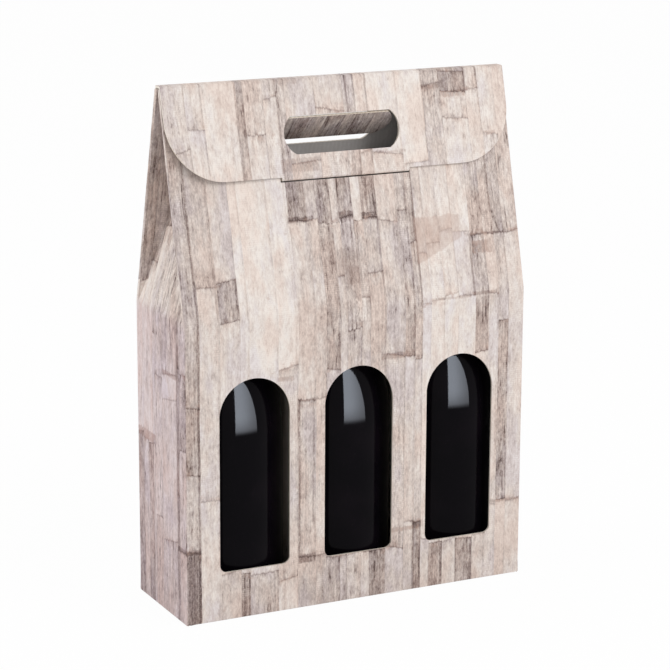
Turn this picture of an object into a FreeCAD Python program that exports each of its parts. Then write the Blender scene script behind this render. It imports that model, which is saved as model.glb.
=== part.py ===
import FreeCAD, Part
import math
import os

V = FreeCAD.Vector

# A folded corrugated carrier for three bottles. The lower half is a box with three arched
# windows in front. Above the shoulder the front and back slope to a ridge, the sides fold in
# as gussets, and a lid hinged at the back of the ridge hangs down over the front slope.
# Origin at the bottom centre, +X to the right, +Y to the back, +Z up, millimetres.

# Board and folds
board = 1.4
layer_gap = 0.3
corner_radius = 1.3
side_fold_radius = 0.9
ridge_slack = 0.35

# Bottles
bottle_count = 3
bottle_diameter = 76.0
bottle_height = 282.0
bottle_gap = 6.0
bottle_shift = 2.5
bottle_base_round = 4.0
bottle_shoulder_length = 108.0
bottle_neck_length = 55.0
bottle_neck_diameter = 28.0

# Room round the bottles, which sets the carton's size
end_play = 6.1
front_play = 0.4
head_room = 75.0

# Carton
shoulder_height = 207.0

# Windows
window_count = 3
window_pitch = 77.5
window_width = 51.6
window_sill = 33.4
window_top = 165.4
window_corner = 5.5

# Bottom flaps and glue flap
minor_flap_clearance = 1.3
seam_step = 6.0
seam_gap = 0.5
flap_relief = 0.5
glue_flap_width = 16.0
glue_flap_inset = 7.0

# Lid, lengths measured down the slope from the ridge
lid_length = 65.0
lid_straight_side = 26.0
tab_width = 95.0
tab_drop = 2.3
tab_depth = 12.0
tab_corner = 3.0
lid_hinge_setback = 1.1

# Slit for the tab in the front slope
slit_side_clearance = 0.75
slit_clearance_above = 0.6
slit_clearance_below = 1.4

# Hand slots, measured down the slope from the ridge
slot_top = 25.0
slot_bulge = 37.5
slot_bottom = 50.5
slot_top_half = 37.0
slot_bulge_half = 43.0
slot_bottom_half = 35.0
slot_step = 0.4
inner_slot_corner = 2.0
back_slot_top = 27.0
back_slot_bottom = 48.2
back_slot_bulge_half = 36.0
back_slot_bottom_half = 28.0

# Tongue pushed in from the lid's hand slot
tongue_kerf = 0.4
tongue_hinge_gap = 0.3
tongue_swing = 61.0

# Capsule sleeves over the bottle mouths
capsule_stop = 1.0
capsule_wall = 0.7
capsule_clearance = 0.2

# Divider between the bottles
divider_head_room = 15.6
divider_front_gap = 1.2
divider_corner = 6.0

bottle_pitch = bottle_diameter + bottle_gap
bottle_body_height = bottle_height - bottle_shoulder_length - bottle_neck_length
width = (bottle_count - 1) * bottle_pitch + bottle_diameter + 2 * (end_play + board)
depth = bottle_diameter + 2 * (front_play + 2 * board + layer_gap)
total_height = bottle_height + head_room
half_width = width / 2
half_depth = depth / 2
panel_top = total_height - board - layer_gap
ridge_half = 2 * board + layer_gap + ridge_slack
slope_rise = panel_top - shoulder_height
slope_run = half_depth - ridge_half
tilt = math.atan2(slope_run, slope_rise)
slope_length = math.hypot(slope_run, slope_rise)
fold_depth = 2 * board + layer_gap
lid_offset = board + layer_gap
ridge_u = (total_height - shoulder_height - lid_offset * math.sin(tilt)) / math.cos(tilt)
slope_frame = FreeCAD.Placement(
    V(0, -half_depth, shoulder_height), FreeCAD.Rotation(V(1, 0, 0), 90 - math.degrees(tilt))
)


def box(x_low, x_high, y_low, y_high, z_low, z_high):
    return Part.makeBox(x_high - x_low, y_high - y_low, z_high - z_low, V(x_low, y_low, z_low))


def polygon_face(points):
    return Part.Face(Part.makePolygon(points + points[:1]))


def edges_face(edges):
    return Part.Face(Part.Wire(edges))


def arc(start, middle, end):
    return Part.Arc(start, middle, end).toShape()


def line(start, end):
    return Part.LineSegment(start, end).toShape()


def on_slope(face, low, high):
    """Extrude a face drawn in slope coordinates between two depths, and lay it on the slope."""
    plate = face.translated(V(0, 0, low)).extrude(V(0, 0, high - low))
    plate.Placement = slope_frame.multiply(plate.Placement)
    return plate


def fuse_all(solids):
    return solids[0].multiFuse(solids[1:]).removeSplitter()


def to_back(solid):
    return solid.mirror(V(0, 0, 0), V(0, 1, 0))


def to_right(solid):
    return solid.mirror(V(0, 0, 0), V(1, 0, 0))


def down(distance):
    """Slope coordinate of a point at this distance down the slope from the ridge."""
    return ridge_u - distance


def rounded_bottom_outline(half, corner, low, high):
    """Face between two heights with its two lower corners rounded."""
    cut = corner * (1 - math.sqrt(0.5))
    return edges_face([
        line(V(-half, high, 0), V(-half, low + corner, 0)),
        arc(V(-half, low + corner, 0), V(-half + cut, low + cut, 0), V(-half + corner, low, 0)),
        line(V(-half + corner, low, 0), V(half - corner, low, 0)),
        arc(V(half - corner, low, 0), V(half - cut, low + cut, 0), V(half, low + corner, 0)),
        line(V(half, low + corner, 0), V(half, high, 0)),
        line(V(half, high, 0), V(-half, high, 0)),
    ])


def slot_outline(top_half, bulge_half, bottom_half, top, bulge, bottom):
    """Hand slot with a straight top, a straight bottom and bulging ends."""
    return edges_face([
        line(V(-top_half, down(top), 0), V(top_half, down(top), 0)),
        arc(V(top_half, down(top), 0), V(bulge_half, down(bulge), 0), V(bottom_half, down(bottom), 0)),
        line(V(bottom_half, down(bottom), 0), V(-bottom_half, down(bottom), 0)),
        arc(V(-bottom_half, down(bottom), 0), V(-bulge_half, down(bulge), 0), V(-top_half, down(top), 0)),
    ])


def lid_slot_outline(step):
    """The lid's hand slot grown by a step on every side, or shrunk if it is negative."""
    return slot_outline(
        slot_top_half + step, slot_bulge_half + step, slot_bottom_half + step,
        slot_top - step, slot_bulge, slot_bottom + step
    )


def inner_slot_outline():
    """The front slope's slot: as the lid's below the bulge, straight-sided above it."""
    half = slot_bulge_half + slot_step
    upper = rounded_bottom_outline(half, inner_slot_corner, -down(slot_top - slot_step), -down(slot_bulge))
    upper = upper.mirror(V(0, 0, 0), V(0, 1, 0))
    return lid_slot_outline(slot_step).fuse(upper).removeSplitter().Faces[0]


def back_slot_outline():
    middle = (back_slot_top + back_slot_bottom) / 2
    return slot_outline(
        back_slot_bottom_half, back_slot_bulge_half, back_slot_bottom_half,
        back_slot_top, middle, back_slot_bottom
    )


def window_cutter(centre):
    """Arched window: rounded lower corners and a half-round head."""
    radius = window_width / 2
    body = rounded_bottom_outline(radius, window_corner, window_sill, window_top - radius)
    body.rotate(V(0, 0, 0), V(1, 0, 0), 90)
    cutter = body.extrude(V(0, 3 * board, 0))
    head = Part.makeCylinder(radius, 3 * board, V(0, 0, window_top - radius), V(0, 1, 0))
    return cutter.fuse(head).translated(V(centre, -half_depth - board, 0))


def lower_tube():
    """Front, back and side walls below the shoulder, with the windows."""
    outer = box(-half_width, half_width, -half_depth, half_depth, 0, shoulder_height)
    upright = [e for e in outer.Edges if abs(e.tangentAt(e.FirstParameter).z) > 0.9]
    outer = outer.makeFillet(corner_radius, upright)
    inner = box(
        -half_width + board, half_width - board, -half_depth + board, half_depth - board,
        -board, shoulder_height + board
    )
    tube = outer.cut(inner)
    for index in range(window_count):
        centre = (index - (window_count - 1) / 2) * window_pitch
        tube = tube.cut(window_cutter(centre))
    return tube


def slope_panel():
    """Plain sloping panel from the shoulder to the ridge, without its side folds."""
    inner_half = half_width - fold_depth
    corners = [
        V(-inner_half, 0, 0), V(inner_half, 0, 0),
        V(inner_half, slope_length, 0), V(-inner_half, slope_length, 0),
    ]
    return on_slope(polygon_face(corners), -board, 0)


def side_fold():
    """The left edge of the slope, where the sheet folds back on itself."""
    corners = [
        V(-half_width, 0, 0), V(-half_width + fold_depth, 0, 0),
        V(-half_width + fold_depth, slope_length, 0), V(-half_width, slope_length, 0),
    ]
    solid = polygon_face(corners).translated(V(0, 0, -fold_depth)).extrude(V(0, 0, fold_depth))
    outer = [
        e for e in solid.Edges
        if abs(e.tangentAt(e.FirstParameter).y) > 0.9 and e.CenterOfMass.x < -half_width + board
    ]
    solid = solid.makeFillet(side_fold_radius, outer)
    inner = polygon_face([
        V(-half_width + board, 0, 0), V(half_width, 0, 0),
        V(half_width, slope_length, 0), V(-half_width + board, slope_length, 0),
    ]).translated(V(0, 0, -board - layer_gap)).extrude(V(0, 0, layer_gap))
    solid = solid.cut(inner)
    solid.Placement = slope_frame.multiply(solid.Placement)
    return solid


def small_gusset():
    """Triangle of the side panel that lies folded flat behind the slope, left side."""
    corners = [
        V(-half_width + board, 0, 0), V(-half_width + 2 * board, 0, 0),
        V(-half_width + half_depth + board, slope_length, 0),
        V(-half_width + board, slope_length, 0),
    ]
    return on_slope(polygon_face(corners), -fold_depth, -board - layer_gap)


def large_gusset():
    """Triangle of the side panel that leans in from the shoulder to the ridge, left side."""
    drop = fold_depth * math.sin(tilt)
    low_z = shoulder_height - drop
    high_z = panel_top - drop
    inset = fold_depth / math.cos(tilt) - board
    low_y = half_depth - inset
    high_y = ridge_half - inset
    apex_x = -half_width + half_depth
    lean = math.atan2(half_depth, high_z - low_z)
    face = polygon_face([
        V(-half_width, -low_y, low_z), V(-half_width, low_y, low_z),
        V(apex_x, high_y, high_z), V(apex_x, -high_y, high_z),
    ])
    return face.extrude(V(board * math.cos(lean), 0, -board * math.sin(lean)))


def front_slope():
    """Front slope with its hand slot and the slit for the lid's tab."""
    slot = on_slope(inner_slot_outline(), -2 * board, board)
    slit_top = down(lid_length + tab_drop - board - slit_clearance_above)
    slit_low = down(lid_length + tab_drop + slit_clearance_below)
    slit_half = tab_width / 2 + slit_side_clearance
    slit = on_slope(polygon_face([
        V(-slit_half, slit_low, 0), V(slit_half, slit_low, 0),
        V(slit_half, slit_top, 0), V(-slit_half, slit_top, 0),
    ]), -2 * board, board)
    return slope_panel().cut(slot).cut(slit)


def back_slope():
    """Back slope with a slightly smaller hand slot."""
    slot = on_slope(back_slot_outline(), -2 * board, board)
    return to_back(slope_panel().cut(slot))


def major_flaps():
    """Outer bottom flaps, folded in from front and back to a stepped seam."""
    half = half_width - board - flap_relief
    quarter = half / 2
    near = -seam_step - seam_gap / 2
    far = seam_step - seam_gap / 2
    front = polygon_face([
        V(-half, -half_depth + board / 2, 0), V(half, -half_depth + board / 2, 0), V(half, near, 0),
        V(quarter, near, 0), V(quarter, far, 0), V(-quarter, far, 0),
        V(-quarter, near, 0), V(-half, near, 0),
    ]).extrude(V(0, 0, board))
    inner_quarter = quarter + seam_gap
    back = polygon_face([
        V(-half, half_depth - board / 2, 0), V(-half, near + seam_gap, 0),
        V(-inner_quarter, near + seam_gap, 0), V(-inner_quarter, far + seam_gap, 0),
        V(inner_quarter, far + seam_gap, 0), V(inner_quarter, near + seam_gap, 0),
        V(half, near + seam_gap, 0), V(half, half_depth - board / 2, 0),
    ]).extrude(V(0, 0, board))
    return [front, back]


def minor_flap():
    """Inner bottom flap, folded in from the left side and lying on the outer flaps."""
    half = half_depth - board - flap_relief
    low = board + layer_gap
    end = -bottle_pitch / 2 - board / 2 - bottle_shift - minor_flap_clearance
    return box(-half_width + board / 2, end, -half, half, low, low + board)


def glue_flap():
    """Strip of the left side panel that is glued inside the back panel."""
    outer_y = half_depth - board - layer_gap
    return box(
        -half_width + board / 2, -half_width + glue_flap_width, outer_y - board, outer_y,
        glue_flap_inset, shoulder_height - glue_flap_inset
    )


def carton_body():
    """The whole glued sheet below the lid."""
    left = [side_fold(), small_gusset()]
    left += [to_back(solid) for solid in left]
    left.append(large_gusset())
    right = [to_right(solid) for solid in left]
    bottom = major_flaps() + [minor_flap(), to_right(minor_flap())]
    return fuse_all([lower_tube(), front_slope(), back_slope()] + left + right + bottom + [glue_flap()])


def lid_outline():
    """Lid seen square to the slope: straight sides, large round corners, middle part lower."""
    corner = lid_length - lid_straight_side
    cut = corner * (1 - math.sqrt(0.5))
    low = down(lid_length)
    side = down(lid_straight_side)
    top = down(-2 * board)
    middle = tab_width / 2
    end = down(lid_length + tab_drop)
    half = half_width
    return edges_face([
        line(V(-half, top, 0), V(-half, side, 0)),
        arc(V(-half, side, 0), V(-half + cut, low + cut, 0), V(-half + corner, low, 0)),
        line(V(-half + corner, low, 0), V(-middle, low, 0)),
        line(V(-middle, low, 0), V(-middle, end, 0)),
        line(V(-middle, end, 0), V(middle, end, 0)),
        line(V(middle, end, 0), V(middle, low, 0)),
        line(V(middle, low, 0), V(half - corner, low, 0)),
        arc(V(half - corner, low, 0), V(half - cut, low + cut, 0), V(half, side, 0)),
        line(V(half, side, 0), V(half, top, 0)),
        line(V(half, top, 0), V(-half, top, 0)),
    ])


def tuck_tab():
    """Tab at the lid's lower edge, square to the lid, that goes through the slit."""
    half = tab_width / 2
    tip = lid_offset - tab_depth
    outline = polygon_face([
        V(-half, 0, lid_offset), V(half, 0, lid_offset), V(half, 0, tip + tab_corner),
        V(half - tab_corner, 0, tip), V(-half + tab_corner, 0, tip), V(-half, 0, tip + tab_corner),
    ])
    tab = outline.extrude(V(0, board, 0)).translated(V(0, down(lid_length + tab_drop), 0))
    tab.Placement = slope_frame.multiply(tab.Placement)
    return tab


def lid_flap():
    """Ridge strip and front flap in one bent sheet, with the hand slot and the tab."""
    hinge_y = ridge_half - lid_hinge_setback
    outer_top_y = -half_depth + ridge_u * math.sin(tilt) - lid_offset * math.cos(tilt)
    fall = (lid_length + tab_drop) * math.cos(tilt)
    run = (lid_length + tab_drop) * math.sin(tilt)
    inner_y = outer_top_y + board / math.cos(tilt) - board * math.tan(tilt)
    under = total_height - board
    inner_fall = fall + board * math.sin(tilt)
    inner_run = run - board * math.cos(tilt)
    profile = polygon_face([
        V(0, hinge_y, total_height), V(0, hinge_y, under), V(0, inner_y, under),
        V(0, outer_top_y - inner_run, total_height - inner_fall),
        V(0, outer_top_y - run, total_height - fall), V(0, outer_top_y, total_height),
    ]).extrude(V(width, 0, 0)).translated(V(-half_width, 0, 0))
    bend = [
        e for e in profile.Edges
        if abs(e.tangentAt(e.FirstParameter).x) > 0.9
        and e.CenterOfMass.distanceToPoint(V(0, outer_top_y, total_height)) < board / 2
    ]
    sheet = profile.makeFillet(board, bend)
    sheet = sheet.common(on_slope(lid_outline(), -slope_length, slope_length))
    slot = on_slope(lid_slot_outline(0), -layer_gap, 2 * lid_offset)
    return sheet.cut(slot).fuse(tuck_tab()).removeSplitter()


def handle_tongue():
    """Tongue cut from the lid's slot, swung in about the slot's top edge."""
    sheet = on_slope(lid_slot_outline(-tongue_kerf), layer_gap, lid_offset)
    root = down(slot_top + tongue_hinge_gap)
    end = down(lid_length)
    keep = on_slope(polygon_face([
        V(-half_width, root, 0), V(half_width, root, 0), V(half_width, end, 0), V(-half_width, end, 0),
    ]), 0, 2 * lid_offset)
    pivot = slope_frame.multVec(V(0, down(slot_top), layer_gap))
    return sheet.common(keep).rotated(pivot, V(1, 0, 0), tongue_swing)


def bottle(centre, floor):
    """Sealed bottle: short straight body, long sloping shoulder, straight neck."""
    radius = bottle_diameter / 2
    neck = bottle_neck_diameter / 2
    start = bottle_body_height
    end = start + bottle_shoulder_length
    half_run = (radius - neck) / 2
    half_rise = bottle_shoulder_length / 2
    bend = (half_run ** 2 + half_rise ** 2) / (2 * half_run)
    share = math.asin(half_rise / bend) / 2
    bulge = bend * (1 - math.cos(share))
    climb = bend * math.sin(share)
    base = bottle_base_round
    cut = base * (1 - math.sqrt(0.5))
    middle = V(radius - half_run, 0, start + half_rise)
    profile = edges_face([
        line(V(0, 0, 0), V(radius - base, 0, 0)),
        arc(V(radius - base, 0, 0), V(radius - cut, 0, cut), V(radius, 0, base)),
        line(V(radius, 0, base), V(radius, 0, start)),
        arc(V(radius, 0, start), V(radius - bulge, 0, start + climb), middle),
        arc(middle, V(neck + bulge, 0, end - climb), V(neck, 0, end)),
        line(V(neck, 0, end), V(neck, 0, bottle_height)),
        line(V(neck, 0, bottle_height), V(0, 0, bottle_height)),
        line(V(0, 0, bottle_height), V(0, 0, 0)),
    ])
    return profile.revolve(V(0, 0, 0), V(0, 0, 1), 360).translated(V(centre, 0, floor))


def capsule(centre, floor):
    """Thin sleeve over a bottle's mouth, resting on the mouth."""
    inner = bottle_neck_diameter / 2 + capsule_clearance
    top = floor + bottle_height
    length = bottle_neck_length - capsule_stop
    low = top - length
    sleeve = Part.makeCylinder(inner + capsule_wall, length + capsule_wall, V(centre, 0, low))
    hollow = Part.makeCylinder(inner, length, V(centre, 0, low))
    return sleeve.cut(hollow)


def divider_insert():
    """Board folded to a U, one wall on either side of the middle bottle, its web at the back."""
    wall = bottle_pitch / 2
    low_x = bottle_shift - wall - board / 2
    high_x = bottle_shift + wall + board / 2
    back_y = half_depth - board - layer_gap
    front_y = -half_depth + board + divider_front_gap
    floor = board
    top = shoulder_height - divider_head_room
    outer = box(low_x, high_x, front_y, back_y, floor, top)
    outer = outer.makeFillet(corner_radius, [
        e for e in outer.Edges
        if abs(e.tangentAt(e.FirstParameter).z) > 0.9 and e.CenterOfMass.y > 0
    ])
    inner = box(low_x + board, high_x - board, front_y - board, back_y - board, 0, top + board)
    insert = outer.cut(inner)
    tips = [
        e for e in insert.Edges
        if abs(e.tangentAt(e.FirstParameter).x) > 0.9
        and e.CenterOfMass.y < front_y + board and e.CenterOfMass.z > top - board
    ]
    return insert.makeFillet(divider_corner, tips)


def main():
    os.makedirs("parts", exist_ok=True)
    nodes = {
        "carton_body": carton_body(),
        "lid_flap": lid_flap(),
        "handle_tongue": handle_tongue(),
        "divider_insert": divider_insert(),
    }
    names = ["left", "middle", "right"]
    for index in range(bottle_count):
        offset = index - (bottle_count - 1) / 2
        centre = bottle_shift + offset * bottle_pitch
        floor = board if offset == 0 else fold_depth
        nodes["bottle_" + names[index]] = bottle(centre, floor)
        nodes["capsule_" + names[index]] = capsule(centre, floor)
    for name, shape in nodes.items():
        print(name, len(shape.Solids), "solids", round(shape.Volume, 1), "mm3", shape.isValid())
        shape.exportStep("parts/" + name + ".step")


main()
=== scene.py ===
import math

import bmesh
import bpy
import numpy as np
from mathutils import Matrix, Vector
from mathutils.geometry import delaunay_2d_cdt


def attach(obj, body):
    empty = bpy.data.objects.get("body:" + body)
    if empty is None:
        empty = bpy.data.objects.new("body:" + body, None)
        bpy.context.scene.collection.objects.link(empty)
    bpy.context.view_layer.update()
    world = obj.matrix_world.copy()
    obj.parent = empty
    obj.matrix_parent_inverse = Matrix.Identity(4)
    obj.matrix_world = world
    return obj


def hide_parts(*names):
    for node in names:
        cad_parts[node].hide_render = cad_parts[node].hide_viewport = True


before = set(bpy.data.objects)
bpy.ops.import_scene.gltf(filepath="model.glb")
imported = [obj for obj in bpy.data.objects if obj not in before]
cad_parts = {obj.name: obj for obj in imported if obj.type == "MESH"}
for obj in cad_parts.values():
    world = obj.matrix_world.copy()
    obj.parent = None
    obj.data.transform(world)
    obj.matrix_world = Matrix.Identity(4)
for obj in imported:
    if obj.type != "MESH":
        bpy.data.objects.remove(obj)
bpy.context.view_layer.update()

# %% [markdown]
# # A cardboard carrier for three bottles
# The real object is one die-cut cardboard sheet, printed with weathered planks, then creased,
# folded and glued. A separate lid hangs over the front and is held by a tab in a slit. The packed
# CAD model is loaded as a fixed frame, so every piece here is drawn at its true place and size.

MM = 0.001

# %% [markdown]
# The camera comes first, because everything else is judged through it. Its place, turn and lens
# were worked out from the corners of the carton in the photograph, whose sizes are known.

# %% Camera
SENSOR = 36.0
FOCAL_PIXELS, PHOTO_WIDTH = 2476.6, 670
CAMERA_PLACE = Vector((-0.7346, -1.4794, 0.5819))
cam_yaw, cam_pitch, cam_roll = math.radians(26.474), math.radians(-13.757), math.radians(0.239)
ahead = Vector((
    math.sin(cam_yaw) * math.cos(cam_pitch), math.cos(cam_yaw) * math.cos(cam_pitch),
    math.sin(cam_pitch),
))
level_right = Vector((math.cos(cam_yaw), -math.sin(cam_yaw), 0))
level_up = level_right.cross(ahead)
cam_right = math.cos(cam_roll) * level_right + math.sin(cam_roll) * level_up
cam_up = math.cos(cam_roll) * level_up - math.sin(cam_roll) * level_right
camera = bpy.data.objects.new("camera", bpy.data.cameras.new("camera"))
bpy.context.scene.collection.objects.link(camera)
camera.data.sensor_width = SENSOR
camera.data.lens = SENSOR * FOCAL_PIXELS / PHOTO_WIDTH
camera.matrix_world = Matrix.Translation(CAMERA_PLACE) @ Matrix(
    (cam_right, cam_up, -ahead)
).transposed().to_4x4()
bpy.context.scene.camera = camera
bpy.context.scene.view_settings.view_transform = "Standard"
print("camera lens", round(camera.data.lens, 1), "mm")

# %% [markdown]
# Sizes are written in millimetres, as on the die drawing. The front and back lean in above the
# shoulder, so a point on them is given by x, by u, the distance up the slope, and by n, the
# distance out of the slope's printed face.

# %% Sizes of the carton
WIDTH, DEPTH, HEIGHT = 255.0, 83.0, 357.0
HALF_W, HALF_D = WIDTH / 2, DEPTH / 2
SHOULDER = 207.0
BOARD, GAP = 1.4, 0.3
FOLD = 2 * BOARD + GAP
PANEL_TOP = HEIGHT - BOARD - GAP
RIDGE_HALF = FOLD + 0.35
TILT = math.atan2(HALF_D - RIDGE_HALF, PANEL_TOP - SHOULDER)
SLOPE = math.hypot(HALF_D - RIDGE_HALF, PANEL_TOP - SHOULDER)
LID_OUT = BOARD + GAP
RIDGE_U = (HEIGHT - SHOULDER - LID_OUT * math.sin(TILT)) / math.cos(TILT)
SIN, COS = math.sin(TILT), math.cos(TILT)
BOTTLE_SHIFT, BOTTLE_PITCH = 2.5, 82.0
WALL = BOTTLE_PITCH / 2


def on_slope(x, u, n, side=-1):
    """Point on the front slope, or on the back slope where side is 1."""
    return Vector((x, side * (HALF_D - u * SIN + n * COS), SHOULDER + u * COS + n * SIN))


print("slopes lean", round(math.degrees(TILT), 2), "degrees, length", round(SLOPE, 1), "mm")

# %% [markdown]
# ## Finishes
# Every finish is a tree of shader nodes. Two small helpers keep the trees readable: one function
# adds any node, and one class lets Python's own operators stand for Math nodes.

# %% Node helpers
def node(tree, kind, settings=None, inputs=None, out=0):
    """Adds a node: its settings first, then values or links for its inputs."""
    new = tree.nodes.new(kind)
    for name, value in (settings or {}).items():
        if name == "stops":
            set_stops(new.color_ramp, value)
        elif name == "interpolation":
            new.color_ramp.interpolation = value
        else:
            setattr(new, name, value)
    for key, value in (inputs or {}).items():
        if isinstance(value, Signal):
            tree.links.new(value.socket, new.inputs[key])
        else:
            new.inputs[key].default_value = value
    return Signal(tree, new.outputs[out]) if new.outputs else None


def set_stops(ramp, stops):
    while len(ramp.elements) > 1:
        ramp.elements.remove(ramp.elements[-1])
    ramp.elements[0].position = stops[0][0]
    ramp.elements[0].color = stops[0][1]
    for position, colour in stops[1:]:
        ramp.elements.new(position).color = colour


class Signal:
    """An output socket whose value can be used in ordinary sums."""

    def __init__(self, tree, socket):
        self.tree, self.socket = tree, socket

    def output(self, name):
        return Signal(self.tree, self.socket.node.outputs[name])

    def maths(self, operation, *values):
        return node(self.tree, "ShaderNodeMath", {"operation": operation}, dict(enumerate(values)))

    def __add__(self, other):
        return self.maths("ADD", self, other)

    __radd__ = __add__

    def __sub__(self, other):
        return self.maths("SUBTRACT", self, other)

    def __rsub__(self, other):
        return self.maths("SUBTRACT", other, self)

    def __mul__(self, other):
        return self.maths("MULTIPLY", self, other)

    __rmul__ = __mul__

    def __truediv__(self, other):
        return self.maths("DIVIDE", self, other)

    def __rtruediv__(self, other):
        return self.maths("DIVIDE", other, self)

    def __gt__(self, other):
        return self.maths("GREATER_THAN", self, other)

    def fraction(self):
        return self.maths("FRACT", self)

    def size(self):
        return self.maths("ABSOLUTE", self)

    def least(self, other):
        return self.maths("MINIMUM", self, other)

    def most(self, other):
        return self.maths("MAXIMUM", self, other)

    def rise(self, low, high):
        """0 below low, 1 above high, smooth between. low may be above high."""
        return node(
            self.tree, "ShaderNodeMapRange", {"interpolation_type": "SMOOTHSTEP"},
            {0: self, 1: low, 2: high, 3: 0.0, 4: 1.0},
        )


def channel(value):
    """Linear light for one sRGB channel from 0 to 255."""
    value /= 255
    return value / 12.92 if value <= 0.04045 else ((value + 0.055) / 1.055) ** 2.4


def paint(red, green, blue):
    return (channel(red), channel(green), channel(blue), 1.0)


def mix(tree, share, first, second, mode="MIX"):
    return node(
        tree, "ShaderNodeMix", {"data_type": "RGBA", "blend_type": mode},
        {0: share, 6: first, 7: second}, out=2,
    )


def vector(tree, x, y, z=0.0):
    return node(tree, "ShaderNodeCombineXYZ", {}, {0: x, 1: y, 2: z})


def noise(tree, place, detail=2.0, roughness=0.5, scale=1.0):
    return node(
        tree, "ShaderNodeTexNoise", {},
        {"Vector": place, "Scale": scale, "Detail": detail, "Roughness": roughness},
    )


def object_place(tree):
    return node(tree, "ShaderNodeTexCoord", {}, {}, out="Object")


def sheet_place(tree):
    """U and V on the flat sheet, in metres."""
    return node(tree, "ShaderNodeSeparateXYZ", {}, {
        0: node(tree, "ShaderNodeUVMap", {"uv_map": "sheet"})
    })


def vector_sum(tree, first, second):
    return node(tree, "ShaderNodeVectorMath", {"operation": "ADD"}, {0: first, 1: second})


def scaled(tree, direction, length):
    return node(
        tree, "ShaderNodeVectorMath", {"operation": "SCALE"}, {0: direction, "Scale": length}
    )


def new_finish(name):
    """A material with an empty tree, and its output node."""
    material = bpy.data.materials.new(name)
    material.use_nodes = True
    material.node_tree.nodes.clear()
    return material, material.node_tree


def surface(tree, shader):
    node(tree, "ShaderNodeOutputMaterial", {}, {"Surface": shader})


# %% [markdown]
# ### The printed planks
# The print runs over the corners without a break, so it is laid out on the flat sheet: U runs
# round the carton from the left side to the front, and V runs up it. The planks stand upright and
# are butted end to end. A short list gives each column its left edge, the heights
# where one plank ends and the next starts, and how pale and how worn each plank is. Ramps with
# constant steps hold that list in the material, so a surface point looks up its own plank.

# %% Plank layout of the carton
# Each row: left edge, heights of up to three joints, then tone and wear of each plank.
NO = 900
LOWEST = 100  # the ramps hold heights from this far below zero
carton_planks = [
    # Columns left of -127.5 are the side panel and its folds. Their dark tones above the shoulder
    # are painted shade on the folded gussets.
    (-210.5, (116, 222), (0.50, 0.84, 0.46), (0.7, 0.2, 0.7)),
    (-200.0, (113, 236), (0.68, 0.84, 0.50), (0.4, 0.2, 0.5)),
    (-191.0, (112, 262), (0.52, 0.82, 0.44), (0.8, 0.3, 0.6)),
    (-184.0, (113, 190, 300), (0.72, 0.80, 0.66, 0.48), (0.4, 0.3, 0.5, 0.4)),
    (-179.0, (64, 162, 320), (0.66, 0.74, 0.66, 0.48), (0.4, 0.4, 0.6, 0.5)),
    (-167.0, (52, 150, 167), (0.66, 0.74, 0.88, 0.62), (0.4, 0.3, 0.1, 0.8)),
    (-143.0, (88, 175), (0.54, 0.52, 0.46), (0.7, 0.8, 0.8)),
    (-139.0, (50, 120, 172), (0.70, 0.64, 0.50, 0.68), (0.4, 0.6, 0.9, 0.5)),
    (-127.5, (51, 104, 150), (0.42, 0.62, 0.46, 0.56), (0.9, 0.6, 0.8, 0.7)),
    (-118.0, (85, 229), (0.79, 0.74, 0.62), (0.3, 0.4, 0.4)),
    (-103.5, (33, 205, 232), (0.76, 0.76, 0.48, 0.66), (0.3, 0.3, 0.9, 0.3)),
    (-88.0, (31,), (0.42, 0.84), (0.9, 0.2)),
    (-82.0, (29, 300), (0.66, 0.87, 0.83), (0.5, 0.2, 0.2)),
    (-61.0, (22, 170), (0.84, 0.70, 0.87), (0.3, 0.4, 0.2)),
    (-46.0, (36, 146, 267), (0.70, 0.66, 0.70, 0.40), (0.4, 0.5, 0.4, 0.8)),
    (-33.5, (36, 146, 267), (0.62, 0.74, 0.66, 0.60), (0.5, 0.3, 0.5, 0.5)),
    (-24.5, (33, 165, 264), (0.56, 0.60, 0.50, 0.44), (0.7, 0.5, 0.8, 0.9)),
    (-15.0, (33, 228, 264), (0.66, 0.70, 0.66, 0.72), (0.5, 0.4, 0.4, 0.4)),
    (-9.0, (33, 191, 267), (0.70, 0.60, 0.56, 0.44), (0.5, 0.7, 0.8, 0.9)),
    (2.0, (33, 212, 264), (0.78, 0.66, 0.58, 0.78), (0.3, 0.5, 0.6, 0.3)),
    (8.5, (33, 228, 265), (0.44, 0.64, 0.62, 0.40), (0.9, 0.5, 0.5, 0.9)),
    (19.5, (33, 170, 262), (0.74, 0.66, 0.66, 0.72), (0.3, 0.6, 0.5, 0.4)),
    (34.5, (50, 168, 268), (0.70, 0.74, 0.54, 0.58), (0.4, 0.4, 0.9, 0.8)),
    (42.0, (49, 165, 246), (0.42, 0.70, 0.58, 0.52), (0.9, 0.4, 0.7, 0.8)),
    (48.0, (36, 203, 238), (0.78, 0.86, 0.80, 0.72), (0.3, 0.2, 0.3, 0.3)),
    (54.5, (32, 205, 244), (0.46, 0.86, 0.82, 0.74), (0.9, 0.2, 0.3, 0.3)),
    (65.0, (32, 208, 252), (0.76, 0.86, 0.80, 0.78), (0.3, 0.2, 0.3, 0.3)),
    (76.0, (32, 206, 250), (0.42, 0.86, 0.76, 0.82), (0.9, 0.2, 0.3, 0.4)),
    (88.0, (33, 165, 247), (0.74, 0.80, 0.54, 0.58), (0.4, 0.3, 0.9, 0.7)),
    (98.5, (54, 206, 247), (0.80, 0.76, 0.76, 0.58), (0.2, 0.4, 0.4, 0.8)),
    (106.5, (56, 186, 247), (0.80, 0.52, 0.64, 0.54), (0.2, 0.9, 0.7, 0.9)),
    (115.5, (55, 247), (0.80, 0.74, 0.62), (0.2, 0.3, 0.7)),
]
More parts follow.
